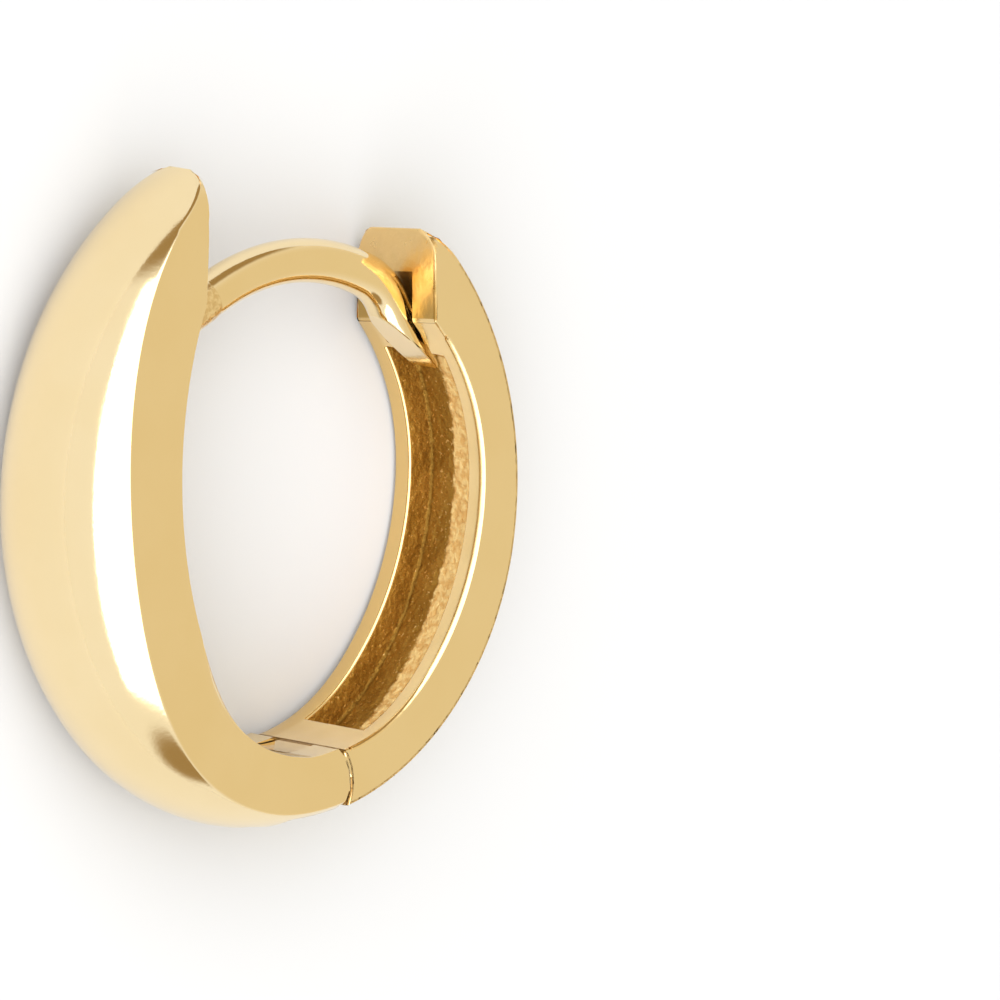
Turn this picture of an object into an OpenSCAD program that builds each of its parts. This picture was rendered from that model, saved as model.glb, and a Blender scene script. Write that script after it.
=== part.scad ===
// Hinged creole hoop earring, closed, lying on its side.
// The hoop is drawn flat: X runs from the domed front half to the back half,
// Y from the hinge up to the ear post, and Z along the hoop's own axis.
// lay() then lowers it onto the surface that it rests on.

/* [Opening] */
// Width of the opening, from the front half to the back half
opening_w = 9.3; // [8.9:0.1:9.7]
// Inner radius of the front half beside the opening
front_r = 7.8; // [7:0.1:9]
// Inner radius of the back half beside the opening
back_r = 6.1; // [5.7:0.05:6.5]
// Inner radius of the back half above its middle, up to the catch plate
top_r = 5; // [4.8:0.05:5.2]
// Inner radius under the opening, where the halves are hinged
bottom_r = 4.05; // [3.8:0.05:4.3]

/* [Front half] */
// Greatest width of the front half
front_w = 4.05; // [3.6:0.05:4.5]
// Height of the widest place above the middle of the hinge end's arc
widest_y = 0.8; // [0.2:0.1:1.4]
// Radius of the side faces, seen from the front
side_r = 29.5; // [26:0.5:34]
// Radius of the dome across the front half
dome_r = 2.4; // [2.35:0.05:2.6]
// Outer radius of the dome along the front half
crown_r = 7.9; // [7.75:0.05:8.1]
// Outer radius of the dome where it runs down to the hinge
foot_r = 6.3; // [5.9:0.1:6.6]
// Radius of the hollows that narrow the front half towards the hinge
taper_r = 9.8; // [8:0.2:12]
// Distance of the tip's end from the middle of the hinge end's arc
tip_x = 2.85; // [2.65:0.05:3.1]
// Height of the tip above the middle of the hinge end's arc
tip_y = 8.8; // [8.6:0.05:8.95]
// Lean of the tip's end face, in degrees
tip_lean = 14; // [8:1:17]

/* [Back half] */
// Width of the back half, and of both halves at the hinge
band_w = 2.75; // [2.45:0.05:3.1]
// Thickness of the hoop under the middle of the opening
bottom_t = 1.3; // [1.2:0.05:1.4]
// Outer radius of the hoop's underside
sole_r = 6.4; // [6:0.1:6.8]
// Outer radius of the back half beside the opening
outer_r = 7.85; // [7.2:0.05:8.4]
// Radius of the top corner on the near side
near_round = 0.55; // [0.3:0.05:0.8]
// Radius of the top corner on the far side
far_round = 0.9; // [0.5:0.05:1.2]
// Width of the channel inside the back half
channel_w = 1.8; // [1.55:0.05:1.95]
// Depth of the channel
channel_depth = 0.65; // [0.5:0.05:0.75]
// Distance of the channel's lower end from the middle of the hinge end's arc
channel_start = 1.6; // [1.5:0.1:2.2]

/* [Catch] */
// Distance of the catch plate's middle from the middle of the hinge end's arc
plate_x = 3.4; // [3.25:0.05:3.5]
// Turn of the plate's face away from the near side, in degrees
plate_turn = 6; // [0:1:9]
// Thickness of the catch plate
plate_t = 0.55; // [0.4:0.05:0.7]
// Clearance of the post in the plate's slot, on each side
slot_gap = 0.1; // [0.06:0.01:0.16]

/* [Ear post] */
// Diameter of the ear post
post_d = 0.95; // [0.8:0.05:1]
// Radius of the post's arc, along its middle
post_r = 5.2; // [5:0.05:5.3]
// Radius of the bend that turns the post into the channel
bend_r = 1.6; // [1.4:0.1:1.8]
// Length of the flattened end beyond the bend
blade_len = 1.7; // [1.5:0.05:1.8]
// Thickness of the flattened end
blade_t = 0.3; // [0.22:0.01:0.4]

/* [Hinge] */
// Diameter of the hinge pin
pin_d = 0.55; // [0.45:0.05:0.6]
// Distance of the pin from the middle of the hinge end's arc
pin_x = 0.36; // [0.3:0.02:0.44]
// Radius of the cheeks' ends around the pin
knuckle_r = 1.1; // [1:0.05:1.2]
// Thickness of the tongue that the back half puts between the cheeks
tongue_w = 1.15; // [1:0.05:1.3]
// Metal left over each end of the pin
pin_skin = 0.18; // [0.12:0.01:0.25]
// Gap between the halves at the hinge
hinge_gap = 0.06; // [0.04:0.01:0.09]
// Clearance of the pin in the tongue, all round
pin_gap = 0.03; // [0.02:0.01:0.05]

/* [Hidden] */
$fn = 180;
gold = "#e3c587";
eps = 0.01;
// Reach of the blocks that cut a half away
far = 20;

// The opening is three arcs that run into each other: the hinge end's arc
// around the origin, the front arc and the back arc.
front_join = 180 + acos((front_r - opening_w / 2) / (front_r - bottom_r));
back_join = -acos((back_r - opening_w / 2) / (back_r - bottom_r));
front_c = -(front_r - bottom_r) * [cos(front_join), sin(front_join)];
back_c = -(back_r - bottom_r) * [cos(back_join), sin(back_join)];

// The hoop's underside is an arc, and the back half's outer side runs on
// from it in a wider one.
sole_shift = 0.73;
sole_c = [-sole_shift, sqrt(pow(sole_r, 2) - pow(sole_shift, 2)) - bottom_r - bottom_t];
outer_join = -10;
outer_c = sole_c - (outer_r - sole_r) * [cos(outer_join), sin(outer_join)];
plate_top = outer_c[1] + sqrt(pow(outer_r, 2) - pow(plate_x - outer_c[0], 2));

// The dome follows two arcs and ends short of the hinge. Its lower ring
// starts inside the upper one and is a hair thinner.
crown_c = [0.69, 1.71];
crown_from = 95;
crown_join = 222;
foot_c = crown_c + (crown_r - foot_r) * [cos(crown_join), sin(crown_join)];
foot_to = 285;
ring_lap = 4;
hair = 0.005;
taper_x = 0.7;
sole_end = [-taper_x, sole_c[1] - sqrt(pow(sole_r, 2) - pow(sole_c[0] + taper_x, 2))];
sole_slope = 45;

// Seen from the front, the tip is an arc that runs into both side faces
tip_rise = tip_y - widest_y;
side_reach = side_r - front_w / 2;
tip_r = (pow(side_r, 2) - pow(side_reach, 2) - pow(tip_rise, 2)) / (2 * (side_r - tip_rise));
tip_from = widest_y + (tip_rise - tip_r) * side_r / (side_r - tip_r);
// Length of the leaning cut, from the tip to half-way down the opening
tip_cut = (tip_y - front_c[1]) * cos(tip_lean) - (tip_x + front_c[0]) * sin(tip_lean);

// Hinge pin, in the middle of the metal
pin_pos = [-pin_x, -bottom_r - bottom_t / 2];
pin_len = band_w - 2 * pin_skin;
seat_gap = 0.01;
tongue_end_r = bottom_t / 2;
tongue_len = knuckle_r + 2 * hinge_gap + bottom_t / 2;
relief_turn = 55;

// Ear post: a straight foot, an arc, a bend and a flattened end
post_c = [0.15, 1.2];
post_to = 112;
post_wire = post_d / 2;
foot_len = 2.6;
foot_lap = 0.1;
bend_from = 64;
bend_to = 25;
bend_lap = 2;
bend_c = post_c + (post_r - bend_r) * [cos(bend_from), sin(bend_from)];
blade_out = 0.45;
blade_w = 0.6 * post_d;
slot_w = post_d + 2 * slot_gap;

// The front half is wider, so the hoop rests tilted: on the inner edge of
// the front half's widest place and on the back half's outer edge.
back_reach = outer_c[0] + outer_r;
front_reach = crown_r - crown_c[0];
hold_reach = sqrt(pow(front_r, 2) - pow(front_c[1] - widest_y, 2)) - front_c[0];
rest_tilt = atan((front_w - band_w) / 2 / (hold_reach + back_reach));
lift = front_w / 2 * cos(rest_tilt) - hold_reach * sin(rest_tilt);
mid_x = (back_reach - front_reach) / 2 * cos(rest_tilt) + band_w / 4 * sin(rest_tilt);
mid_y = (foot_c[1] - foot_r + tip_y) / 2 + eps;

module lay() {
    translate([-mid_x, -mid_y, lift]) rotate([0, rest_tilt, 0]) children();
}

module slab(h) {
    linear_extrude(h, center = true) children();
}

// What lies behind the outline that children() show from the front
module from_front() {
    rotate([90, 0, 90]) slab(2 * far) children();
}

// Inside of the opening's edge, or of a line outside it by grow
module opening_area(grow = 0) {
    circle(bottom_r + grow);
    intersection() {
        translate(front_c) circle(front_r + grow);
        translate(back_c) circle(back_r + grow);
        polygon([
            [0, 0],
            far * [cos(front_join), sin(front_join)],
            [-far, far],
            [far, far],
            far * [cos(back_join), sin(back_join)]
        ]);
    }
}

// The same inside the back half, which closes in on the catch plate in its
// own arc
module back_opening(grow = 0) {
    intersection() {
        opening_area(grow);
        union() {
            translate([opening_w / 2 - top_r, back_c[1]]) circle(top_r + grow);
            translate([-far, -far]) square([2 * far, far + back_c[1]]);
        }
    }
}

// Inside of the underside and of the back half's outer edge
module back_area() {
    translate(sole_c) circle(sole_r);
    intersection() {
        translate(outer_c) circle(outer_r);
        polygon([sole_c, [sole_c[0], far], [far, far], sole_c + far * [cos(outer_join), sin(outer_join)]]);
    }
}

// Space between the cheeks, with room for the tongue to turn
module fork_slot() {
    slab(tongue_w + 2 * hinge_gap) translate(pin_pos) {
        circle(tongue_end_r + hinge_gap);
        translate([0, -far / 2]) square([far, far]);
        polygon([[0, 0], [0, -far], -far * [sin(relief_turn), cos(relief_turn)]]);
    }
}

// What is cut off beyond the cheeks' round ends
module knuckle_cut() {
    slab(far) translate(pin_pos) difference() {
        translate([0, -far / 2]) square([far, far / 2 - pin_pos[1]]);
        circle(knuckle_r);
    }
}

// Part of a ring with the dome's section, or one thinner by inset
module dome_ring(middle, rim, from, to, inset = 0) {
    translate(middle) rotate([0, 0, from])
        rotate_extrude(angle = to - from) translate([rim - dome_r, 0]) circle(dome_r - inset);
}

// Front half seen from the front: a lens, rounded off at the tip
module front_outline() {
    intersection() {
        translate([widest_y, -side_reach]) circle(side_r);
        translate([widest_y, side_reach]) circle(side_r);
        union() {
            translate([-far, -far]) square([far + tip_from, 2 * far]);
            translate([tip_y - tip_r, 0]) circle(tip_r);
        }
    }
}

// Front half seen from above: it narrows to the band's width at the hinge
module front_plan() {
    difference() {
        translate([-far, -far]) square([far - taper_x, 2 * far]);
        for (side = [-1, 1]) translate([-taper_x, side * (band_w / 2 + taper_r)]) circle(taper_r);
    }
    translate([-taper_x, -band_w / 2]) square([far, band_w]);
}

// Inside of the underside at the hinge, and all that lies before the dome's end
module front_sole() {
    translate(sole_c) circle(sole_r);
    translate(sole_end) rotate(sole_slope) translate([-far, 0]) square([2 * far, far]);
}

module front_shell() {
    difference() {
        intersection() {
            union() {
                dome_ring(crown_c, crown_r, crown_from, crown_join);
                dome_ring(foot_c, foot_r, crown_join - ring_lap, foot_to, hair);
            }
            from_front() front_outline();
            rotate([90, 0, 0]) slab(2 * far) front_plan();
            slab(far) front_sole();
        }
        slab(far) opening_area();
        translate([-tip_x, tip_y, -far]) rotate([0, 0, -tip_lean]) translate([0, -tip_cut, 0])
            cube([far, far, 2 * far]);
        knuckle_cut();
        fork_slot();
        translate(pin_pos)
            cylinder(h = pin_len + 2 * seat_gap, d = pin_d + 2 * seat_gap, center = true);
    }
}

// Wire from the front half through the catch, flattened at its end
module ear_post() {
    translate(post_c) {
        rotate([0, 0, bend_from])
            rotate_extrude(angle = post_to - bend_from) translate([post_r, 0]) circle(post_wire);
        rotate([0, 0, post_to]) translate([post_r, -foot_lap, 0]) rotate([-90, 0, 0])
            cylinder(h = foot_len, r = post_wire - hair);
    }
    translate(bend_c) rotate([0, 0, bend_to]) {
        rotate_extrude(angle = bend_from - bend_to + bend_lap)
            translate([bend_r, 0]) circle(post_wire - hair);
        translate([bend_r, 0, 0]) hull() {
            translate([0, 2 * eps, 0]) rotate([90, 0, 0])
                cylinder(h = eps, r = post_wire - 2 * hair, $fn = 32);
            translate([blade_out - blade_t / 2, -blade_len, -blade_w / 2])
                cube([blade_t, eps, blade_w]);
        }
    }
}

module front_arch() {
    color(gold) lay() {
        front_shell();
        ear_post();
    }
}

// Back half seen from the front, with its two round top corners
module back_outline() {
    far_z = far_round - band_w / 2;
    near_z = band_w / 2 - near_round;
    translate([-far, -band_w / 2]) square([far + plate_top - far_round, band_w]);
    translate([-far, far_z]) square([far + plate_top - near_round, band_w / 2 - far_z]);
    translate([-far, far_z]) square([far + plate_top, near_z - far_z]);
    translate([plate_top - far_round, far_z]) circle(far_round);
    translate([plate_top - near_round, near_z]) circle(near_round);
}

module back_profile() {
    difference() {
        intersection() {
            difference() {
                back_area();
                back_opening();
            }
            translate([pin_pos[0], -far]) square([far, 2 * far]);
        }
        translate(pin_pos) circle(knuckle_r + hinge_gap);
    }
}

// Channel inside the band, closed by the catch plate and above the hinge
module channel() {
    slab(channel_w) intersection() {
        back_opening(channel_depth);
        union() {
            translate([channel_start, -far]) square([far, far]);
            translate([plate_x + plate_t, -eps]) square([far, far]);
        }
    }
}

// All of the ring that lies before the catch plate's face
module plate_cut() {
    translate([plate_x, 0, 0]) rotate([0, -plate_turn, 0]) translate([-far, 0, -far])
        cube([far, far, 2 * far]);
}

// Slot that lets the post in from the opening
module catch_slot() {
    slab(slot_w) intersection() {
        union() {
            translate(bend_c) circle(bend_r + post_wire + slot_gap);
            square([far, bend_c[1] + post_wire + 2 * slot_gap]);
        }
        translate([plate_x - plate_t, 0]) square([3 * plate_t, far]);
    }
}

module tongue() {
    slab(tongue_w) {
        translate(pin_pos) circle(tongue_end_r);
        intersection() {
            difference() {
                translate(sole_c) circle(sole_r);
                circle(bottom_r);
            }
            translate([pin_pos[0], -far]) square([tongue_len, far]);
        }
    }
}

module back_arch() {
    color(gold) lay() difference() {
        union() {
            intersection() {
                slab(far) back_profile();
                from_front() back_outline();
            }
            tongue();
        }
        plate_cut();
        channel();
        catch_slot();
        translate(pin_pos) cylinder(h = band_w, d = pin_d + 2 * pin_gap, center = true);
    }
}

module hinge_pin() {
    color(gold) lay() translate(pin_pos) cylinder(h = pin_len, d = pin_d, center = true);
}

front_arch();
back_arch();
hinge_pin();
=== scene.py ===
# %% [markdown]
# # A hinged creole hoop earring in polished gold
# The earring is two gold halves on one hinge: a wide domed front half with the
# ear post soldered into it, and a slim back half with a hollowed channel that
# catches the post. It lies on its side on a pale table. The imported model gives
# the frame: every piece made here goes where its solid says, in metres.

import math

import bmesh
import bpy
from mathutils import Matrix, Vector

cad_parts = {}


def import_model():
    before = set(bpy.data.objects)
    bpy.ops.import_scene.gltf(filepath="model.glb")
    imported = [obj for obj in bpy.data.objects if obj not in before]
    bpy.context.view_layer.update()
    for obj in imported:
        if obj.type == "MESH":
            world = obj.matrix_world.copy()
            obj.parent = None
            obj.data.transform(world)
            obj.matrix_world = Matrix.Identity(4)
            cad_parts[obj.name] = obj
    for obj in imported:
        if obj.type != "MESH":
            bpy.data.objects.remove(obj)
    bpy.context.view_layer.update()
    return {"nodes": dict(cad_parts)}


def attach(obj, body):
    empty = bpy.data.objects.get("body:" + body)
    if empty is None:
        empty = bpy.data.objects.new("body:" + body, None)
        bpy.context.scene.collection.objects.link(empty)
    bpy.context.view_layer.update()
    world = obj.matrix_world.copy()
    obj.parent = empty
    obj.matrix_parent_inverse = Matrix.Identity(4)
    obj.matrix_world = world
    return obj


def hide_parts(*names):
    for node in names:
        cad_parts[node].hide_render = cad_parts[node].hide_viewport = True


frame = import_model()
print("frame loaded:", ", ".join(sorted(frame["nodes"])))

# %% [markdown]
# ## The hoop's own drawing plane
# A jeweller draws a hoop flat: X from the front half to the back half, Y up
# from the hinge to the post, Z along the hoop's axis, with the middle of the
# hinge end's arc as zero. The shapes below use that plane in millimetres, and
# `lay` takes a point from it to where the hoop rests on the table. The front
# half is wider than the back half, so the hoop rests with a small tilt.

# %% From the drawing plane to the table
MM, PER_METRE = 0.001, 1000
REST_TILT = math.radians(3.6308)
REST_PLACE = (0.71393, -1.5797, 1.7327)
lay = (
    Matrix.Translation(Vector(REST_PLACE) * MM)
    @ Matrix.Rotation(REST_TILT, 4, "Y")
    @ Matrix.Scale(MM, 4)
)
print("rest tilt", round(math.degrees(REST_TILT), 2), "degrees")

# %% [markdown]
# ## Camera
# The hoop is seen a little from its front and a little from above, from far
# away, so nothing looks stretched. A long lens on a camera that is turned with
# the hoop's drawing plane keeps that view while the hoop lies on its side.

# %% Camera
YAW, RISE = math.radians(43.53), math.radians(9.65)
DISTANCE, FRAME_WIDTH = 700, 21.24
AIM_RIGHT, AIM_TOP = 4.682, 1.271
SENSOR, NEAREST = 36, 0.01
turn = Matrix.Rotation(REST_TILT - YAW, 4, "Y") @ Matrix.Rotation(-RISE, 4, "X")
to_right, to_top, to_camera = (turn.to_3x3().col[k].copy() for k in range(3))
aim = lay.translation + (AIM_RIGHT * to_right + AIM_TOP * to_top) * MM

lens = bpy.data.cameras.new("camera")
lens.sensor_width = SENSOR
lens.lens = SENSOR * DISTANCE / FRAME_WIDTH
lens.clip_start = NEAREST
camera = bpy.data.objects.new("camera", lens)
bpy.context.scene.collection.objects.link(camera)
camera.matrix_world = Matrix.Translation(aim + DISTANCE * MM * to_camera) @ turn
bpy.context.scene.camera = camera
print("lens", round(lens.lens), "mm")

# %% [markdown]
# ## Tools for the curves
# Both halves are bounded by circles. A ray from inside the hoop leaves each
# circle once, and that distance is all that a cross-section needs. Where no
# formula gives an angle, halving the range again and again finds it.

# %% Rays and circles
HALVINGS = 40


def toward(middle, angle, reach):
    """The point at this reach from middle, in the direction of angle."""
    return (
        middle[0] + reach * math.cos(math.radians(angle)),
        middle[1] + reach * math.sin(math.radians(angle)),
    )


def reach_to(circle, start, angle):
    """Distance from start, along angle, to the far side of the circle (x, y, radius)."""
    ux, uy = math.cos(math.radians(angle)), math.sin(math.radians(angle))
    dx, dy = start[0] - circle[0], start[1] - circle[1]
    along = ux * dx + uy * dy
    return -along + math.sqrt(max(along**2 - dx**2 - dy**2 + circle[2] ** 2, 0))


def bearing(point, middle=(0, 0)):
    """Direction of a point seen from middle, from 0 to 360 degrees."""
    return math.degrees(math.atan2(point[1] - middle[1], point[0] - middle[0])) % 360


def turned(angle, zero):
    """The angle counted from zero, from -180 to 180 degrees."""
    return (angle - zero + 180) % 360 - 180


def last_angle(span, holds):
    """The last angle of the span (from, to) for which holds(angle) is true."""
    low, high = span
    for _ in range(HALVINGS):
        middle = (low + high) / 2
        if holds(middle):
            low = middle
        else:
            high = middle
    return low


print("a ray to the right leaves the unit circle at", reach_to((0, 0, 1), (0, 0), 0))

# %% [markdown]
# ## The outline's arcs
# Seen flat, the opening is made of arcs that run into each other: one round
# the hinge, one along each half, and a tighter one up to the catch plate.
# Outside, one arc carries the underside and a wider one the back half. Each
# is a circle (x, y, radius). The hinge pin sits in the middle of the metal.

# %% Arcs and hinge
BOTTOM = (0, 0, 4.05)
FRONT = (3.15, 2.0264, 7.8)
BACK = (-1.45, 1.4427, 6.1)
TOP = (-0.35, 1.4427, 5.0)
SOLE = (-0.73, 1.0082, 6.4)
OUTER = (-2.1580, 1.2599, 7.85)
PIN, KNUCKLE = (-0.36, -4.7), 1.1
print("opening", round(BACK[0] + BACK[2] - FRONT[0] + FRONT[2], 2), "mm wide")

# %% [markdown]
# ## Sweeping a section
# Both halves are one cross-section carried round the hoop while it changes
# size. By hand that is a filled circle whose rim is extruded again and again,
# and each new rim is put in its place. The rim's points keep their order, so
# the edges run cleanly round the hoop and take a small rounding well.

# %% Sweep
JOIN_WITHIN = 0.002


def start_clean():
    """Leaves edit mode and deselects everything."""
    if bpy.context.object and bpy.context.object.mode != "OBJECT":
        bpy.ops.object.mode_set(mode="OBJECT")
    bpy.ops.object.select_all(action="DESELECT")


def take(piece):
    """Selects this piece alone."""
    start_clean()
    piece.select_set(True)
    bpy.context.view_layer.objects.active = piece


def sweep(name, rings, sharp_start=False):
    """Extrudes a filled ring through all the others, then turns its faces outwards."""
    start_clean()
    bpy.ops.mesh.primitive_circle_add(vertices=len(rings[0]), radius=1, fill_type="NGON")
    piece = bpy.context.object
    piece.name = piece.data.name = name
    bpy.ops.object.mode_set(mode="EDIT")
    mesh = bmesh.from_edit_mesh(piece.data)
    mesh.verts.ensure_lookup_table()
    rim = list(mesh.verts)
    for number, ring in enumerate(rings):
        if number:
            before = len(mesh.verts)
            bpy.ops.mesh.extrude_region_move()
            mesh = bmesh.from_edit_mesh(piece.data)
            mesh.verts.ensure_lookup_table()
            rim = mesh.verts[before:]
        for vertex, point in zip(rim, ring):
            vertex.co = point
    if sharp_start:
        # The first ring is closed up to a line, so its face has no area
        mesh.faces.ensure_lookup_table()
        bmesh.ops.delete(mesh, geom=[mesh.faces[0]], context="FACES_ONLY")
    bpy.ops.mesh.select_all(action="SELECT")
    bpy.ops.mesh.remove_doubles(threshold=JOIN_WITHIN)
    bpy.ops.mesh.normals_make_consistent(inside=False)
    bpy.ops.object.mode_set(mode="OBJECT")
    print(name, len(rings), "rings of", len(rings[0]), "->", len(piece.data.polygons), "faces")
    return piece


# %% [markdown]
# ## Rounding and cutting
# A goldsmith files a notch and then takes the edges off, because a sharp edge
# scratches and shows no line of light. A Bevel modifier takes them off here.
# The notches are Boolean cuts with simple blocks and drums, applied at once.
# The solver for closed shapes is used, because it leaves closed ones.

# %% Rounding and cutting
CLOSED_SHAPES = "MANIFOLD"


def finish_modifier(piece, kind, **settings):
    """Adds a modifier with these settings and applies it."""
    take(piece)
    modifier = piece.modifiers.new("step", kind)
    for key, value in settings.items():
        setattr(modifier, key, value)
    bpy.ops.object.modifier_apply(modifier=modifier.name)


def round_edges(piece, width, segments, sharper_than):
    """Rounds every edge that turns by more than this angle."""
    finish_modifier(
        piece,
        "BEVEL",
        width=width,
        segments=segments,
        angle_limit=math.radians(sharper_than),
        limit_method="ANGLE",
        use_clamp_overlap=False,
    )


def cut(piece, tool, operation="DIFFERENCE"):
    """Cuts the tool from the piece, or joins or crosses them, and removes the tool."""
    finish_modifier(piece, "BOOLEAN", object=tool, operation=operation, solver=CLOSED_SHAPES)
    bpy.data.objects.remove(tool)


print("modifiers are applied at once")

# %% [markdown]
# ## Drums and blocks
# What a saw and a round file take away is a block or a drum. Each is a plain
# primitive added at its size and place and used as a cutter, never as a piece
# that stays. A leaning block is given by its top line, because that line is
# the cut that shows.

# %% Drums and blocks
def drum(radius, height, middle, faces=96):
    """A cylinder along the hoop's axis."""
    start_clean()
    bpy.ops.mesh.primitive_cylinder_add(
        vertices=faces, radius=radius, depth=height, location=(middle[0], middle[1], 0)
    )
    piece = bpy.context.object
    bpy.ops.object.transform_apply(location=True, rotation=True, scale=True)
    return piece


def block(low, high):
    """A block between two opposite corners."""
    start_clean()
    middle = [(a + b) / 2 for a, b in zip(low, high)]
    bpy.ops.mesh.primitive_cube_add(size=1, location=middle)
    piece = bpy.context.object
    piece.scale = [b - a for a, b in zip(low, high)]
    bpy.ops.object.transform_apply(location=True, rotation=True, scale=True)
    return piece


def leaning_block(corner, heading, length, depth=4, half=2):
    """A block whose top runs from corner along heading; a negative depth lies to its left."""
    piece = block((0, min(-depth, 0), -half), (length, max(-depth, 0), half))
    piece.data.transform(Matrix.Rotation(math.radians(heading), 4, "Z"))
    piece.data.transform(Matrix.Translation((corner[0], corner[1], 0)))
    return piece


print("drums and blocks ready")

# %% [markdown]
# ## Front half's outline
# The front half is a dome: a ring of round section, whose middle line lies
# inside the metal. Its flanks are cut flat, seen from the front they bow a
# little, the tip is round, and at the hinge the width runs in to the band's.
# So one rule gives the half width at each place of the drawing plane.

# %% Front half's outline
CROWN = (0.69, 1.71)
CROWN_R, DOME_R, FOOT_R = 7.9, 2.4, 6.3
CROWN_JOIN = 222
FOOT = toward(CROWN, CROWN_JOIN, CROWN_R - FOOT_R)
SIDE_R, WIDEST_Y, HALF_W, HALF_BAND = 29.5, 0.8, 2.025, 1.375
TIP, TIP_R = (-2.85, 8.8), 1.1905
TAPER_R, TAPER_X, TAPER_SPAN = 9.8, -0.7, 4


def front_half_width(x, y):
    """Half the front half's width: bowed sides, round tip, taper to the hinge."""
    side = math.sqrt(SIDE_R**2 - (y - WIDEST_Y) ** 2) - (SIDE_R - HALF_W)
    from_tip = y - (TIP[1] - TIP_R)
    if from_tip > 0:
        side = min(side, math.sqrt(max(TIP_R**2 - from_tip**2, 0)))
    if x > TAPER_X - TAPER_SPAN:
        reach = min(max(TAPER_X - x, 0), TAPER_SPAN)
        side = min(side, HALF_BAND + TAPER_R - math.sqrt(TAPER_R**2 - reach**2))
    return side


print("widest", 2 * HALF_W, "mm")

# %% [markdown]
# ## Where the metal ends
# A station is a ray from the dome's middle. Along it the metal begins at the
# opening, or at the tip at a leaning cut that faces the back half. It ends at
# the dome, or near the hinge at the underside, which starts with a 45 degree
# step. Two simple distances are then compared, and the right one is kept.

# %% Reach of the metal
FAR, LEVEL = 99, 1e-6
TIP_LEAN = math.radians(14)
TIP_TO, FRONT_JOIN, SOLE_FROM = 160, 212.93, 240


def tip_line_reach(start, angle):
    """Distance to the leaning inner face of the tip."""
    nx, ny = math.cos(TIP_LEAN), -math.sin(TIP_LEAN)
    ux, uy = math.cos(math.radians(angle)), math.sin(math.radians(angle))
    return ((TIP[0] - start[0]) * nx + (TIP[1] - start[1]) * ny) / (ux * nx + uy * ny)


def sole_reach(start, angle):
    """Distance to the underside at the hinge, or to the 45 degree step before it."""
    end = (TAPER_X, SOLE[1] - math.sqrt(SOLE[2] ** 2 - (SOLE[0] - TAPER_X) ** 2))
    ux, uy = math.cos(math.radians(angle)), math.sin(math.radians(angle))
    slope = ((end[0] - start[0]) - (end[1] - start[1])) / (ux - uy) if ux - uy > LEVEL else FAR
    return max(reach_to(SOLE, start, angle), slope if slope > 0 else FAR)


def front_section(angle):
    """Start of the ray, reach of the dome's middle line and of the opening."""
    start = CROWN if angle <= CROWN_JOIN else FOOT
    rim = CROWN_R if angle <= CROWN_JOIN else FOOT_R
    inner = reach_to(FRONT, start, angle)
    if bearing(toward(start, angle, inner)) > FRONT_JOIN:
        inner = reach_to(BOTTOM, start, angle)
    if angle < TIP_TO:
        inner = max(inner, tip_line_reach(start, angle))
    return start, rim - DOME_R, inner


print("metal", round(CROWN_R - front_section(180)[2], 2), "mm thick behind the dome")

# %% [markdown]
# ## Front half's section
# A ring of points goes over the dome from side to side, in along one flat
# flank, back across the inner face and out along the other flank. On the last
# rings each point is turned on to the round end about the hinge pin, because
# the front half's end has to be round there for the hinge to turn.

# %% Front half's section
DOME_STEPS, SIDE_STEPS = 32, 6
LEAN_SPAN, FRONT_END_SPAN = (0.0, 1.57), (265.0, 290.0)


def knuckle_bearing(start, reach):
    """Angle at which a point at this reach meets the round end about the pin."""

    def before(angle):
        x, y = toward(start, angle, reach)
        return x < PIN[0] or math.hypot(x - PIN[0], y - PIN[1]) < KNUCKLE

    return last_angle(FRONT_END_SPAN, before)


def front_ring(angle, to_knuckle=0):
    """The section at one station, with each point turned towards the knuckle by a share."""
    start, tube, inner = front_section(angle)
    limit = sole_reach(start, angle) if angle > SOLE_FROM else FAR

    def dome_reach(lean):
        return max(min(tube + DOME_R * math.cos(lean), limit), inner)

    def at(reach):
        turn_to = angle
        if to_knuckle:
            turn_to = angle + to_knuckle * (knuckle_bearing(start, reach) - angle)
        return toward(start, turn_to, reach)

    def inside(lean):
        return DOME_R * math.sin(lean) < front_half_width(*at(dome_reach(lean)))

    lean = last_angle(LEAN_SPAN, inside)
    spread = [math.sin(lean * (1 - 2 * step / DOME_STEPS)) for step in range(DOME_STEPS + 1)]
    section = [(dome_reach(math.asin(share)), DOME_R * share, None) for share in spread]
    crease = section[0][0]
    for step in range(1, SIDE_STEPS):
        section.append((crease + (inner - crease) * step / SIDE_STEPS, None, -1))
    for share in reversed(spread):
        section.append((inner, None, share / spread[0]))
    for step in range(1, SIDE_STEPS):
        section.append((inner + (crease - inner) * step / SIDE_STEPS, None, 1))
    points = []
    for reach, z, share in section:
        x, y = at(reach)
        points.append((x, y, z if share is None else share * front_half_width(x, y)))
    return points


print(len(front_ring(180)), "points in a ring")

# %% [markdown]
# ## Front half
# The stations start where the leaning cut leaves the dome, which is the tip's
# sharp upper end, and stand closer together where the shape turns faster: at
# the tip and near the hinge. A hair of rounding then takes the edges off.

# %% Front half
TIP_SPAN, TIP_MOVES = (110.0, 125.0), (0, 0.6, 1.2, 1.9, 2.7, 3.6)
STRETCHES = ((140, 1.1), (240, 1.8), (262, 1.2), (272.6, 0.45))
KNUCKLE_STEPS = 8

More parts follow.
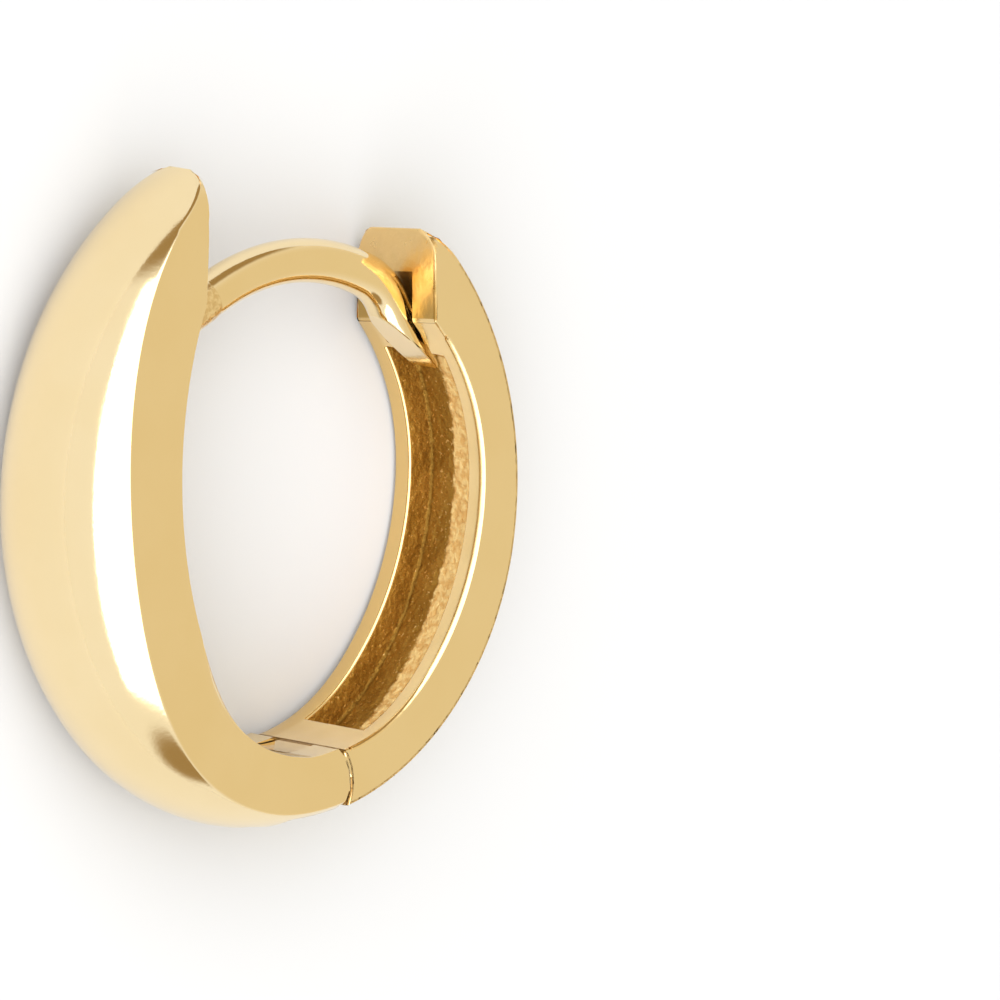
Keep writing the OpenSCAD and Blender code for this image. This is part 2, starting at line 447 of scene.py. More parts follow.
tip_angle = last_angle(TIP_SPAN, lambda angle: tip_line_reach(CROWN, angle) > CROWN_R)
stations = [tip_angle + move for move in TIP_MOVES]
for until, stride in STRETCHES:
    while stations[-1] + stride < until:
        stations.append(stations[-1] + stride)
rings = [front_ring(angle) for angle in stations]
rings += [front_ring(stations[-1], step / KNUCKLE_STEPS) for step in range(1, KNUCKLE_STEPS + 1)]
dome = sweep("front_dome", rings, sharp_start=True)
round_edges(dome, width=0.04, segments=2, sharper_than=27)
print("tip at", round(tip_angle, 2), "degrees")

# %% [markdown]
# ## Hinge slot
# The front half ends in a fork: two cheeks with a slot between them for the
# tongue of the back half. A goldsmith saws the slot and files its floor hollow,
# so that the tongue can turn. Here a drum about the pin, a block that opens
# the slot towards the back half and a leaning block that lets the tongue swing
# are joined and cut out in one go, and then the bore for the pin.

# %% Hinge slot
HALF_TONGUE, TONGUE_R = 1.15 / 2, 0.65
GAP = 0.06
PIN_R, PIN_LENGTH, PIN_SEAT = 0.275, 2.39, 0.01
SWING, SWING_LENGTH = -145, 3
LOWEST, SLOT_FLOOR, SLOT_END = -7, -2, 2

half_slot = HALF_TONGUE + GAP
room_for_tongue = leaning_block(PIN, SWING, SWING_LENGTH, -SWING_LENGTH, half_slot)
cut(room_for_tongue, drum(TONGUE_R + GAP, 2 * half_slot, PIN), "UNION")
way_out = block((PIN[0], LOWEST, -half_slot), (SLOT_END, SLOT_FLOOR, half_slot))
cut(room_for_tongue, way_out, "UNION")
cut(dome, room_for_tongue)
cut(dome, drum(PIN_R + PIN_SEAT, PIN_LENGTH + 2 * PIN_SEAT, PIN))
print("hinge slot", round(2 * half_slot, 2), "mm wide")

# %% [markdown]
# ## Back half's outline
# The back half is a band of even width between the opening's arcs and the
# outer ones, and at its top it turns in to the catch plate, whose corners are
# round. Its rays start at the heart of the hoop. Round the channel the same
# arcs are used with a larger radius, so the floor runs level under the rim.

# %% Back half's outline
HEART = (-0.3, 1.2)
CHANNEL_HALF, CHANNEL_DEPTH = 0.9, 0.65
BACK_JOIN, OUTER_JOIN = 315.3, -10


def grown(circle, by):
    """The same arc, further out by this much."""
    return (circle[0], circle[1], circle[2] + by)


def back_inner(angle, grow=0.0):
    """Reach of the opening, or of a line outside it by grow."""
    reach = reach_to(grown(BOTTOM, grow), HEART, angle)
    x, y = toward(HEART, angle, reach)
    if turned(bearing((x, y)), BACK_JOIN) < 0 and y < 0:
        return reach
    reach = reach_to(grown(BACK, grow), HEART, angle)
    x, y = toward(HEART, angle, reach)
    if y > BACK[1]:
        reach = reach_to(grown(TOP, grow), HEART, angle)
    return reach


def back_outer(angle):
    """Reach of the underside, or of the wider arc that runs on from it."""
    reach = reach_to(SOLE, HEART, angle)
    if turned(bearing(toward(HEART, angle, reach), SOLE), OUTER_JOIN) > 0:
        reach = reach_to(OUTER, HEART, angle)
    return reach


print("band", round(back_outer(0) - back_inner(0), 2), "mm thick")

# %% [markdown]
# ## Points of the back half
# Each point of the band is named by its ray, by how far it lies through the
# thickness, and by its share of the width. Only the catch plate's two round
# corners are narrower, and the near corner is rounded less than the far one.

# %% Points of the back half
PLATE_TOP, NEAR_CORNER, FAR_CORNER = 6.8040, 0.55, 0.9
ON_EDGE = 0.99


def back_half_width(y, side):
    """Half the band's width, less at the plate's round corners."""
    corner = NEAR_CORNER if side > 0 else FAR_CORNER
    over = y - (PLATE_TOP - corner)
    if over <= 0:
        return HALF_BAND
    return HALF_BAND - corner + math.sqrt(max(corner**2 - over**2, 0))


def back_point(angle, thick, share, depth=0):
    """A point of the band: thick from the inside out, share across, depth into the channel."""
    inner = back_inner(angle)
    reach = inner + thick * (back_outer(angle) - inner)
    if depth:
        reach += depth * (back_inner(angle, CHANNEL_DEPTH) - inner)
    x, y = toward(HEART, angle, reach)
    wide = back_half_width(y, share)
    across = wide if abs(share) > ON_EDGE else min(abs(share) * HALF_BAND, wide)
    return x, y, math.copysign(across, share)


print("plate's top edge", back_half_width(PLATE_TOP, 1), "mm wide on the near side")

# %% [markdown]
# ## Back half's section
# The ring of points goes over the outer face, in along one side, across the
# rim, down into the channel and up again, and back along the other side. Some
# rings carry the channel and others leave it closed. At the hinge the points
# are turned to a hollow about the pin, and at the top to the plate's face.

# %% Back half's section
SIDE_SHARES = (0.98, 0.95, 0.9, 0.84, 0.76, 0.66, 0.52, 0.35, 0.18)
FACE_STEPS, WALL_STEPS, FLOOR_STEPS = 16, 4, 8
PLATE_X, PLATE_TURN = 3.4, math.radians(6)
HOLLOW_SPAN, PLATE_SPAN = (265, 300), (395, 430)


def hollow_angle(thick, share):
    """Angle at which this line of the band meets the hollow about the pin."""

    def before(angle):
        x, y, _ = back_point(angle, thick, share)
        return x < PIN[0] or math.hypot(x - PIN[0], y - PIN[1]) < KNUCKLE + GAP

    return last_angle(HOLLOW_SPAN, before)


def plate_angle(thick, share):
    """Angle at which this line of the band meets the catch plate's face."""

    def beyond(angle):
        x, _, z = back_point(angle, thick, share)
        return x > PLATE_X - z * math.tan(PLATE_TURN)

    return last_angle(PLATE_SPAN, beyond)


def back_ring(angle, deep=0, to_hollow=0, to_plate=0):
    """The section at one angle, with its channel deep or closed."""
    wall = CHANNEL_HALF / HALF_BAND
    rim = (1 + wall) / 2
    section = [(1, 1 - 2 * step / FACE_STEPS, 0) for step in range(FACE_STEPS + 1)]
    section += [(thick, -1, 0) for thick in SIDE_SHARES]
    section += [(0, -1, 0), (0, -rim, 0), (0, -wall, 0)]
    section += [(0, -wall, deep * step / WALL_STEPS) for step in range(1, WALL_STEPS + 1)]
    section += [(0, wall * (2 * step / FLOOR_STEPS - 1), deep) for step in range(1, FLOOR_STEPS)]
    section += [(0, wall, deep * (1 - step / WALL_STEPS)) for step in range(WALL_STEPS + 1)]
    section += [(0, rim, 0), (0, 1, 0)]
    section += [(thick, 1, 0) for thick in reversed(SIDE_SHARES)]
    points = []
    for thick, share, depth in section:
        at = angle
        if to_hollow:
            at += to_hollow * (hollow_angle(thick, share) - angle)
        if to_plate:
            at += to_plate * (plate_angle(thick, share) - angle)
        points.append(back_point(at, thick, share, depth))
    return points


print(len(back_ring(0)), "points in a ring")

# %% [markdown]
# ## Back half
# Two stations stand close together at each end of the channel, one closed and
# one deep, and make its steep ends. Between them the stations are evenly
# spaced, so that the long side faces stay calm in the reflections.

# %% Back half
START, TURN_UP = 282.0, 400.5
CHANNEL_FROM, CHANNEL_TO = 1.6, 3.95
LOW_SPAN, HIGH_SPAN = (270, 330), (360, 430)
LOW_END, HIGH_END = 0.9, 0.3
HOLLOW_STEPS, PLATE_STEPS = 6, 12


def evenly(low, high, stride):
    """Angles from low to high, both included, about a stride apart."""
    count = max(round((high - low) / stride), 1)
    return [low, *(low + (high - low) * k / count for k in range(1, count)), high]


channel_from = last_angle(LOW_SPAN, lambda angle: back_point(angle, 0, 0)[0] < CHANNEL_FROM)
channel_to = last_angle(HIGH_SPAN, lambda angle: back_point(angle, 0, 0)[0] > CHANNEL_TO)
print("channel from", round(channel_from, 1), "to", round(channel_to, 1), "degrees")

rings = [back_ring(START, to_hollow=step / HOLLOW_STEPS) for step in range(HOLLOW_STEPS, 0, -1)]
rings += [back_ring(angle) for angle in evenly(START, channel_from, 1.2)]
rings += [back_ring(angle, deep=1) for angle in evenly(channel_from + LOW_END, channel_to, 1.5)]
rings += [back_ring(angle) for angle in evenly(channel_to + HIGH_END, TURN_UP, 1.0)]
rings += [back_ring(TURN_UP, to_plate=step / PLATE_STEPS) for step in range(1, PLATE_STEPS + 1)]
band = sweep("back_band", rings)

# %% [markdown]
# ## The band's edges
# The near rim of the opening is the edge that the polishing wheel meets first.
# It is worn round more than the others and shows a broad white line of light.
# So its edges are selected by their place and beveled wide in edit mode, and
# after that a Bevel modifier rounds all the other edges a little.

# %% Round the band's edges
NEAR_RIM, RIM_SEGMENTS = 0.15, 6
ON_SIDE, ON_RIM, ANGLE_SLACK = 0.002, 0.004, 0.01


def from_heart(at):
    """Angle, counted past 360 degrees above the start, and reach from the hoop's heart."""
    angle = bearing(at, HEART)
    return angle + (360 if angle < 180 else 0), math.hypot(at.x - HEART[0], at.y - HEART[1])


def on_near_rim(at):
    """Whether a point lies where the opening meets the near side."""
    angle, reach = from_heart(at)
    if not START - ANGLE_SLACK < angle < TURN_UP + ANGLE_SLACK or abs(at.z - HALF_BAND) > ON_SIDE:
        return False
    return abs(reach - back_inner(angle)) < ON_RIM


take(band)
bpy.ops.object.mode_set(mode="EDIT")
bpy.ops.mesh.select_mode(type="EDGE")
bpy.ops.mesh.select_all(action="DESELECT")
mesh = bmesh.from_edit_mesh(band.data)
rim_edges = [edge for edge in mesh.edges if all(on_near_rim(v.co) for v in edge.verts)]
for edge in rim_edges:
    edge.select_set(True)
bmesh.update_edit_mesh(band.data)
bpy.ops.mesh.bevel(offset=NEAR_RIM, segments=RIM_SEGMENTS, affect="EDGES")
bpy.ops.mesh.select_mode(type="VERT")
bpy.ops.object.mode_set(mode="OBJECT")
print(len(rim_edges), "edges of the near rim rounded")
round_edges(band, width=0.07, segments=3, sharper_than=35)

# %% [markdown]
# ## The catch's slot
# The closed post passes through a slot in the catch plate, and the slot lets
# it in from the opening. A saw would cut it straight in and a round file would
# follow the post's bend. So the cut is a drum about the bend's middle, kept
# to the plate, and a block towards the opening, both as wide as the wire with
# a little room on each side.

# %% Catch slot
WIRE, BEND_R, SLOT_GAP = 0.475, 1.6, 0.1
BEND_MIDDLE = (1.729, 4.436)
PLATE_FRONT, PLATE_REAR = PLATE_X - 0.5, PLATE_X + 1.1
MOUTH_LOW, MOUTH_TO = 3, (4.35, 5.11)
WIDE, HIGH = 2, 9

half_catch = WIRE + SLOT_GAP
bend_room = drum(BEND_R + WIRE + SLOT_GAP, 2 * half_catch, BEND_MIDDLE)
cut(bend_room, block((PLATE_FRONT, 0, -WIDE), (PLATE_REAR, HIGH, WIDE)), "INTERSECT")
cut(band, bend_room)
cut(band, block((PLATE_FRONT, MOUTH_LOW, -half_catch), (*MOUTH_TO, half_catch)))
print("catch slot", round(2 * half_catch, 2), "mm wide")

# %% [markdown]
# ## Tongue
# The back half's end carries a tongue that fills the fork's slot and turns on
# the pin. It is a short piece of the band's own arcs with a round end. Its
# arcs lie a hair inside the band's faces, because two faces in one place make
# a Boolean fail, and the bore goes through last.

# %% Tongue
TONGUE_LENGTH, HAIR, PIN_PLAY = 1.87, 0.003, 0.03
THROUGH, ROUND_FACES, SHANK_TOP = 3, 256, -3

shank = block((PIN[0], LOWEST, -HALF_TONGUE), (PIN[0] + TONGUE_LENGTH, SHANK_TOP, HALF_TONGUE))
cut(shank, drum(SOLE[2] - HAIR, THROUGH, SOLE[:2], ROUND_FACES), "INTERSECT")
cut(shank, drum(BOTTOM[2] + HAIR, THROUGH, BOTTOM[:2], ROUND_FACES))
tongue = drum(TONGUE_R, 2 * HALF_TONGUE, PIN)
cut(tongue, shank, "UNION")
cut(band, tongue, "UNION")
cut(band, drum(PIN_R + PIN_PLAY, THROUGH, PIN))
print("band", len(band.data.polygons), "faces")

# %% [markdown]
# ## Ear post
# The post is a round wire bent by hand over a rod: a straight foot in the
# front half, a wide arc over the opening and a tight bend down into the
# channel, where its end is filed flat on top and cut off at a slant. A round
# ring of points is swept along that line, and two leaning blocks file it.

# %% Ear post
POST, POST_R = (0.15, 1.2), 5.2
POST_FROM, BEND_FROM, BEND_TO = 112, 64, 29
POST_HEADING = 22
FOOT_OF_POST = toward(POST, POST_FROM, POST_R)
FOOT_STEPS, FOOT_STEP, END_STEPS, END_STEP = 8, 0.32, 10, 0.22
ARC_STEPS, BEND_STEPS, WIRE_POINTS = 32, 24, 48
FILED_FROM, FILED_HEADING = (2.07, 5.49), -39.6
END_FROM, END_HEADING = (4.38, 3.93), -112
PAST_WIRE, TO_LEFT = 6, -4


def wire_ring(x, y, heading):
    """A round section across the wire, whose way on is heading."""
    nx, ny = -math.sin(math.radians(heading)), math.cos(math.radians(heading))
    return [
        (x + WIRE * math.cos(a) * nx, y + WIRE * math.cos(a) * ny, WIRE * math.sin(a))
        for a in (2 * math.pi * k / WIRE_POINTS for k in range(WIRE_POINTS))
    ]


def straight(start, heading, reaches):
    """Sections along a straight stretch, at these distances from its start."""
    return [wire_ring(*toward(start, heading, reach), heading) for reach in reaches]


def arc(middle, radius, start, end, steps, first=0):
    """Sections along a round stretch that turns down from one angle to another."""
    angles = [start - (start - end) * step / steps for step in range(first, steps + 1)]
    return [wire_ring(*toward(middle, angle, radius), angle - 90) for angle in angles]


BEND = toward(POST, BEND_FROM, POST_R - BEND_R)
foot = [-step * FOOT_STEP for step in range(FOOT_STEPS, 0, -1)]
blade = [step * END_STEP for step in range(1, END_STEPS + 1)]
rings = straight(FOOT_OF_POST, POST_HEADING, foot)
rings += arc(POST, POST_R, POST_FROM, BEND_FROM, ARC_STEPS)
rings += arc(BEND, BEND_R, BEND_FROM, BEND_TO, BEND_STEPS, first=1)
rings += straight(toward(BEND, BEND_TO, BEND_R), BEND_TO - 90, blade)
post = sweep("post", rings)
cut(post, leaning_block(FILED_FROM, FILED_HEADING, PAST_WIRE))
cut(post, leaning_block(END_FROM, END_HEADING, PAST_WIRE, TO_LEFT))
round_edges(post, width=0.03, segments=2, sharper_than=30)

# %% [markdown]
# ## Solder at the post's foot
# The post is soldered to the front half, and the joint was left as it flowed:
# a low collar that spreads from the wire to the gold around it, a little
# uneven. By hand it is a ring whose outer rim sits on the half's inner face.
# Each row of the list is a place along the foot and the collar's thickness
# there, and `UNEVEN` makes two, three and four soft waves round the wire.

# %% Solder
SOLDER = [(-2.45, 0.22), (-2.1, 0.13), (-1.6, 0.06), (-0.85, 0.035), (-0.55, 0.03), (-0.36, 0.003)]
UNEVEN = (0.16, 0.09, 0.05)


def solder_ring(along, extra):
    """A section of the foot, grown unevenly by about extra."""
    x, y = toward(FOOT_OF_POST, POST_HEADING, along)
    ring = wire_ring(x, y, POST_HEADING)
    points = []
    for k, (px, py, pz) in enumerate(ring):
        a = 2 * math.pi * k / len(ring)
        flow = 1 + sum(part * math.sin((n + 2) * a + 1.7 * n) for n, part in enumerate(UNEVEN))
        grow = 1 + extra * flow / WIRE
        points.append((x + (px - x) * grow, y + (py - y) * grow, pz * grow))
    return points


solder = sweep("post_solder", [solder_ring(along, extra) for along, extra in SOLDER])

# %% [markdown]
# ## Settling the pieces
# The domed half and its post ride on the front body, the channelled half on
# the back one. The hinge pin is right as it comes from the frame. Each piece
# is cleaned of the cuts' tiny edges and laid on the table. Its curved faces
# are shaded smooth, and a large face that a cut has left stays flat, because
# a smooth one would bend the light between its far corners.

# %% Settle
CLEAN_WITHIN = 0.0003
SMOOTH_BELOW = math.radians(32)
CUT_FACE_CORNERS = 8


def settle(piece, body, node):
    """Cleans a piece and puts it from the drawing plane on the table and on its body."""
    take(piece)
    bpy.ops.object.mode_set(mode="EDIT")
    bpy.ops.mesh.select_all(action="SELECT")
    bpy.ops.mesh.remove_doubles(threshold=CLEAN_WITHIN)
    bpy.ops.mesh.normals_make_consistent(inside=False)
    bpy.ops.object.mode_set(mode="OBJECT")
    piece.data.transform(lay)
    bpy.ops.object.shade_smooth_by_angle(angle=SMOOTH_BELOW)
    for face in piece.data.polygons:
        if len(face.vertices) > CUT_FACE_CORNERS:
            face.use_smooth = False
    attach(piece, body)
    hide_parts(node)


settle(dome, "front", "front_arch")
settle(post, "front", "front_arch")
settle(solder, "front", "front_arch")
settle(band, "back", "back_arch")
print("front:", dome.name, post.name, solder.name, "| back:", band.name)

# %% [markdown]
# ## Writing materials
# Polish, haze and dirt change from place to place on real gold. By hand each
# change is a few nodes wired together, and many of them are hard to follow. A
# socket that can be added and multiplied keeps the shader maths readable, and
# every other node comes from one method: its type, its settings, its inputs.

# %% Sockets with arithmetic
class Socket:
    """One output in a node tree; arithmetic on it adds Math nodes."""

    def __init__(self, tree, output=None):
        self.tree, self.output = tree, output

    def node(self, kind, settings=None, inputs=None, output=0):
        made = self.tree.nodes.new(kind)
        for key, value in (settings or {}).items():
            setattr(made, key, value)
        for key, value in (inputs or {}).items():
            if isinstance(value, Socket):
                self.tree.links.new(value.output, made.inputs[key])
            else:
                made.inputs[key].default_value = value
        return Socket(self.tree, made.outputs[output])

    def math(self, operation, first, second):
        return self.node("ShaderNodeMath", {"operation": operation}, {0: first, 1: second})

    def __add__(self, other):
        return self.math("ADD", self, other)

    def __mul__(self, other):
        return self.math("MULTIPLY", self, other)

    def __sub__(self, other):
        return self.math("SUBTRACT", self, other)

    def __rsub__(self, other):
        return self.math("SUBTRACT", other, self)

    __radd__ = __add__
    __rmul__ = __mul__

    def ramp(self, low, high):
        """0 below low, 1 above high, smooth between."""
        return self.node(
            "ShaderNodeMapRange",
            {"interpolation_type": "SMOOTHSTEP"},
            {"Value": self, "From Min": low, "From Max": high},
        )

    def blend(self, first, second):
        """The colour first where this is 0 and second where it is 1."""
        return self.node(
            "ShaderNodeMix", {"data_type": "RGBA"}, {"Factor": self, 6: first, 7: second}, 2
        )

    def noise(self, scale, detail=3.0):
        """A cloudy pattern, scale cells to the metre."""
        return self.node("ShaderNodeTexNoise", None, {"Vector": self, "Scale": scale, "Detail": detail})

    def along(self, axis):
        """How far this place or direction reaches along an axis."""
        return self.node(
            "ShaderNodeVectorMath", {"operation": "DOT_PRODUCT"}, {0: self, 1: axis}, "Value"
        )

    def bump(self, distance):
        """A normal from this height, where 1 stands for distance in metres."""
        return self.node("ShaderNodeBump", None, {"Height": self, "Distance": distance, "Strength": 1.0})


print("socket class ready")

# %% [markdown]
# ## One kind of metal for all
# Every finish is the same gold, so one function makes the material and asks
# a finish for its settings. The finish gets the place on the object, and what
# changes over the surface starts from there, so it stays put as parts move.

# %% Metal
def metal(name, settings):
    """A new metal, whose settings are worked out from the place on the object."""
    material = bpy.data.materials.new(name)
    material.use_nodes = True
    tree = material.node_tree
    place = Socket(tree).node("ShaderNodeTexCoord", output="Object")
    surface = tree.nodes["Principled BSDF"]
    surface.inputs["Metallic"].default_value = 1
    for key, value in settings(place).items():
        if isinstance(value, Socket):
            tree.links.new(value.output, surface.inputs[key])
        else:
            surface.inputs[key].default_value = value
    print("material", name)
    return material


# %% [markdown]
# ## Polished gold
# Yellow gold, buffed on a wheel: nearly a mirror, with a faint haze that comes
# and goes and a slight waviness left by the polishing. The haze changes the
# roughness and the waviness is a very low bump, so the reflections keep their
# edges but are not perfectly straight.

# %% Polished gold
GOLD, GOLD_HAZY = (0.885, 0.715, 0.425, 1), (0.87, 0.695, 0.40, 1)


def polished(place):
    haze = place.noise(420).ramp(0.35, 0.7)
    wave = place.noise(260, 1.0) + 0.03 * place.noise(9000, 2.0)
    return {
        "Base Color": haze.blend(GOLD, GOLD_HAZY),
        "Roughness": 0.075 + 0.045 * haze,
        "Normal": wave.bump(0.000035),
    }


gold = metal("polished_gold", polished)

# %% [markdown]
# ## Cast gold
# Inside the channel no wheel reaches, so the casting's skin stays: brown,
# grainy, with small bright facets. Fine grains darken and lift the colour and
# also carry the bump, and a coarser one makes the skin patchy. The near wall
# and the floor beside it get a painted highlight, and the far corner a painted shade.

# %% Cast gold
CAST_DARK, CAST_BROWN = (0.36, 0.20, 0.036, 1), (0.43, 0.245, 0.05, 1)
# painted highlight: the two colours of the lit band by the near wall
CAST_PAINTED_LIT_PALE, CAST_PAINTED_LIT_TAN = (1.0, 0.80, 0.40, 1), (0.88, 0.61, 0.25, 1)
# the corner colour is a painted shade
CAST_SPARK, CAST_PAINTED_CORNER_SHADE = (0.90, 0.66, 0.30, 1), (0.27, 0.15, 0.028, 1)
hoop_axis = lay.to_3x3().col[2].normalized()
axis_zero = lay.translation.dot(hoop_axis)


def hoop_z(place):
    """Millimetres along the hoop's axis, from its middle plane."""
    return (place.along(hoop_axis) - axis_zero) * PER_METRE


def cast(place):
    grain = place.noise(7000, 4.0)
    patch = place.noise(1600).ramp(0.35, 0.65)
    spark = place.noise(13000, 1.0).ramp(0.63, 0.72)
    across = hoop_z(place)
    # painted highlight: a ramp across the channel lightens the near wall and the floor beside it
    near = (across + 0.25 * (grain - 0.5)).ramp(-0.24, -0.14)
    # painted shade: a narrow darker band in the far wall's corner with the floor
    corner = across.ramp(-0.897, -0.885) * across.ramp(-0.78, -0.84)
    skin = patch.blend(CAST_DARK, CAST_BROWN)
    painted_lit = grain.ramp(0.4, 0.6).blend(CAST_PAINTED_LIT_TAN, CAST_PAINTED_LIT_PALE)
    sparkling = (0.6 * spark).blend(near.blend(skin, painted_lit), CAST_SPARK)
    return {
        "Base Color": corner.blend(sparkling, CAST_PAINTED_CORNER_SHADE),
        "Roughness": 0.6 - 0.25 * spark,
        "Normal": (grain + 0.5 * patch).bump(0.00006),
    }


cast_gold = metal("cast_gold", cast)

# %% [markdown]
# ## Satin gold and catch plate
# Behind the post the wheel only brushes past. The inner rims are satin, the
# far one darker with painted shade, and the catch plate is darker towards the
# slot, also painted shade. Both use the same few steps as the polished gold.

# %% Satin and plate
SATIN, SATIN_HAZY, SATIN_PAINTED_SHADE_FAR = (0.89, 0.67, 0.33, 1), (0.85, 0.63, 0.30, 1), (0.78, 0.55, 0.23, 1)
PLATE_PAINTED_SHADE, PLATE_BRIGHT = (0.53, 0.34, 0.10, 1), (0.92, 0.65, 0.29, 1)
DARK_TO, BRIGHT_FROM = 5.35, 6.45
ALONG_Y = (0, 1, 0)


def satin(place):
    haze = place.noise(1300).ramp(0.35, 0.7)
    # painted shade: the far rim is darker
    far = hoop_z(place).ramp(-0.8, -1.0)
    return {
        "Base Color": far.blend(haze.blend(SATIN, SATIN_HAZY), SATIN_PAINTED_SHADE_FAR),
        "Roughness": 0.13 + 0.08 * haze,
        "Normal": place.noise(2400, 2.0).bump(0.00001),
    }


def plate_look(place):
    y = place.along(ALONG_Y) * PER_METRE - lay.translation.y * PER_METRE
    patch = place.noise(1500).ramp(0.3, 0.7)
    # painted shade: the plate is darker lower down, towards the slot
    height = (y + 0.35 * patch).ramp(DARK_TO, BRIGHT_FROM)
    return {
        "Base Color": height.blend(PLATE_PAINTED_SHADE, PLATE_BRIGHT),
        "Roughness": 0.26 + 0.1 * patch,
        "Normal": place.noise(3000, 3.0).bump(0.000025),
    }


satin_gold = metal("satin_gold", satin)
plate_gold = metal("plate_gold", plate_look)

# %% [markdown]
# ## Joint and solder
# The faces in the hinge's gap are never touched by a wheel, and they are
# painted dark brown and mottled, a painted shade in the gap. The solder is a
# little duller than the gold around it, with a fine crust where the flux has boiled.

# %% Joint and solder
# the joint colours are painted shade for the hinge's gap
JOINT_PAINTED_SHADE, JOINT_PAINTED_SHADE_LIGHTER = (0.30, 0.17, 0.05, 1), (0.42, 0.25, 0.08, 1)
SOLDER_DULL, SOLDER_PALE = (0.74, 0.54, 0.27, 1), (0.88, 0.70, 0.40, 1)


def joint(place):
    # painted shade: the gap's faces are dark brown with a soft mottle
    shade_mottle = place.noise(5000, 3.0).ramp(0.35, 0.65)
    return {
        "Base Color": shade_mottle.blend(JOINT_PAINTED_SHADE, JOINT_PAINTED_SHADE_LIGHTER),
        "Roughness": 0.45,
        "Normal": shade_mottle.bump(0.00002),
    }


def solder_look(place):
    crust = place.noise(8500, 4.0)
    return {
        "Base Color": crust.ramp(0.38, 0.62).blend(SOLDER_DULL, SOLDER_PALE),
        "Roughness": 0.2,
        "Normal": crust.bump(0.00002),
    }


joint_gold = metal("joint_gold", joint)
solder_gold = metal("solder_gold", solder_look)

# %% [markdown]
# ## Giving out the finishes
# A face's place and direction in the drawing plane say how it was finished:
# in the channel, in the hinge's gap, on the catch plate, on the inner side, or
# out where the wheel reaches. By hand the same faces would be picked one by
# one, and a rule picks them again each time the shape changes.

# %% Where each finish goes
POLISH_SLOT, JOINT_SLOT, CAST_SLOT, SATIN_SLOT, PLATE_SLOT = range(5)
MOUTH_EDGE = 0.085
PLATE_FROM_Y, PLATE_TO_X, SLOT_SIDE = 5.0, 4.45, 0.7
SIDE_FACE, END_FACE, FACING_OUT, FACING_IN = 0.9, 0.85, 0.5, -0.5
GAP_FROM, GAP_TO = -0.05, 0.07
BEFORE_CHANNEL, PAST_CHANNEL, PAST_WALL, PAST_FLOOR = 0.5, 0.4, 0.03, 0.02
to_plane = lay.inverted()


def in_channel(at):
    """Whether a face lies in the channel, below its mouth's rounded edge."""
    angle, reach = from_heart(at)
    if not channel_from - BEFORE_CHANNEL < angle < channel_to + PAST_CHANNEL:
        return False
    floor_reach = back_inner(angle, CHANNEL_DEPTH) + PAST_FLOOR
    return abs(at.z) <= CHANNEL_HALF + PAST_WALL and back_inner(angle) + MOUTH_EDGE < reach < floor_reach


def in_gap(at, way, radius):
    """Whether a face lies on the round end, or the hollow, about the pin."""
    off = math.hypot(at.x - PIN[0], at.y - PIN[1]) - radius
    return at.x > PIN[0] and GAP_FROM < off < GAP_TO and abs(way.z) < END_FACE


def front_finish(at, way):
    return JOINT_SLOT if in_gap(at, way, KNUCKLE) else POLISH_SLOT


def back_finish(at, way):
    if in_channel(at):
        return CAST_SLOT
    if in_gap(at, way, KNUCKLE + GAP):
        return JOINT_SLOT
    outward = Vector((at.x - HEART[0], at.y - HEART[1], 0)).normalized()
    facing = way.dot(outward)
    by_slot = abs(way.z) < SIDE_FACE or abs(at.z) < SLOT_SIDE
    if at.y > PLATE_FROM_Y and at.x < PLATE_TO_X and facing < FACING_OUT and by_slot:
        return PLATE_SLOT
    return SATIN_SLOT if facing < FACING_IN else POLISH_SLOT


def give(piece, finishes, choose=None):
    """Puts the finishes on a piece; choose(place, direction) picks one for each face."""
    piece.data.materials.clear()
    for finish in finishes:
        piece.data.materials.append(finish)
    for face in piece.data.polygons if choose else ():
        way = (to_plane.to_3x3() @ face.normal).normalized()
        face.material_index = choose(to_plane @ face.center, way)
    print(piece.name, "finished with", ", ".join(finish.name for finish in finishes))


# %% Finishes
give(dome, [gold, joint_gold], front_finish)
give(post, [gold])
give(solder, [solder_gold])
give(band, [gold, joint_gold, cast_gold, satin_gold, plate_gold], back_finish)
give(frame["nodes"]["hinge_pin"], [gold])

# %% [markdown]
# ## Table
# The table is matt white card, a little blue against the warm light, so that
# it looks plain white. It is wide enough to run out of the picture.

# %% Table
CARD_WHITE, TABLE_SIZE = (0.59, 0.605, 0.64, 1), 2.0
start_clean()
bpy.ops.mesh.primitive_plane_add(size=TABLE_SIZE, location=(0, 0, 0))
floor = bpy.context.object
floor.name = "floor"
card = bpy.data.materials.new("white_card")
card.use_nodes = True
paper = card.node_tree.nodes["Principled BSDF"]
paper.inputs["Base Color"].default_value = CARD_WHITE
paper.inputs["Roughness"].default_value = 0.9
paper.inputs["Specular IOR Level"].default_value = 0.1
floor.data.materials.append(card)
bpy.context.scene.view_settings.view_transform = "Standard"
print("table", floor.name)

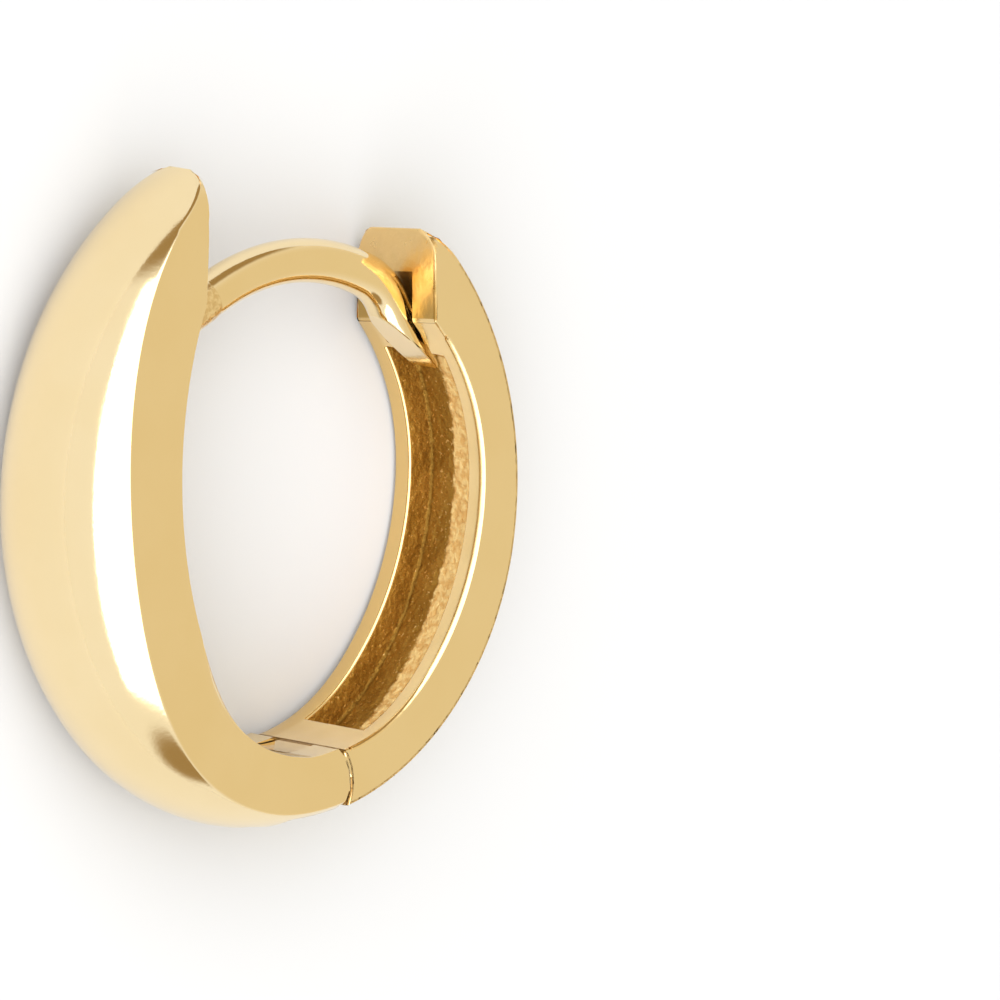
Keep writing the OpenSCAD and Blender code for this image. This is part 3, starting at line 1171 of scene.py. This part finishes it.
# %% [markdown]
# ## Room
# Polished gold shows the room more than itself. The room is white on the left
# and warmer on the right, where the flat sides look. It is dark towards the
# picture's top, which gives the stroke at the tip, and in a small cone towards
# its foot, which gives the one at the dome's lower end.

# %% Room
WHITE, WARM, DARK = (1.05, 1.05, 1.05, 1), (0.87, 0.77, 0.56, 1), (0.40, 0.28, 0.13, 1)
WARM_SIDE, DARK_ABOVE, DARK_BELOW = (0.2, 0.85), (0.75, 0.86), (0.958, 0.988)
STROKE_BELOW = (0.03 * to_camera + 0.15 * to_right - 0.985 * to_top).normalized()
world = bpy.data.worlds.new("studio")
bpy.context.scene.world = world
world.use_nodes = True
room = Socket(world.node_tree).node("ShaderNodeTexCoord", output="Generated")
walls = room.along(to_right).ramp(*WARM_SIDE).blend(WHITE, WARM)
above = room.along(to_top).ramp(*DARK_ABOVE)
below = room.along(STROKE_BELOW).ramp(*DARK_BELOW)
light = (above + below).blend(walls, DARK)
backdrop = world.node_tree.nodes["Background"]
world.node_tree.links.new(light.output, backdrop.inputs["Color"])
print("room", world.name)

# %% [markdown]
# ## Softbox
# A wide softbox stands behind the camera, and its edge makes the white stripe
# along the front half's crease. Its sides are given as angles seen from the
# hoop, because those decide where the reflection ends.

# %% Softbox
BACK_BY, RADIANCE = 760, 2.05
BOX_ANGLES = (-21, 40, -65, 50)
BOX_LEFT, BOX_RIGHT, BOX_LOW, BOX_HIGH = (
    BACK_BY * math.tan(math.radians(angle)) for angle in BOX_ANGLES
)
wide, tall = (BOX_RIGHT - BOX_LEFT) * MM, (BOX_HIGH - BOX_LOW) * MM
softbox = bpy.data.lights.new("softbox", "AREA")
softbox.shape = "RECTANGLE"
softbox.size, softbox.size_y = wide, tall
softbox.energy = RADIANCE * math.pi * wide * tall
stand = bpy.data.objects.new("softbox", softbox)
bpy.context.scene.collection.objects.link(stand)
across, up = (BOX_LEFT + BOX_RIGHT) / 2, (BOX_LOW + BOX_HIGH) / 2
stand.matrix_world = (
    Matrix.Translation(aim + (across * to_right + up * to_top + BACK_BY * to_camera) * MM) @ turn
)
print("softbox", round(wide, 2), "by", round(tall, 2), "m")
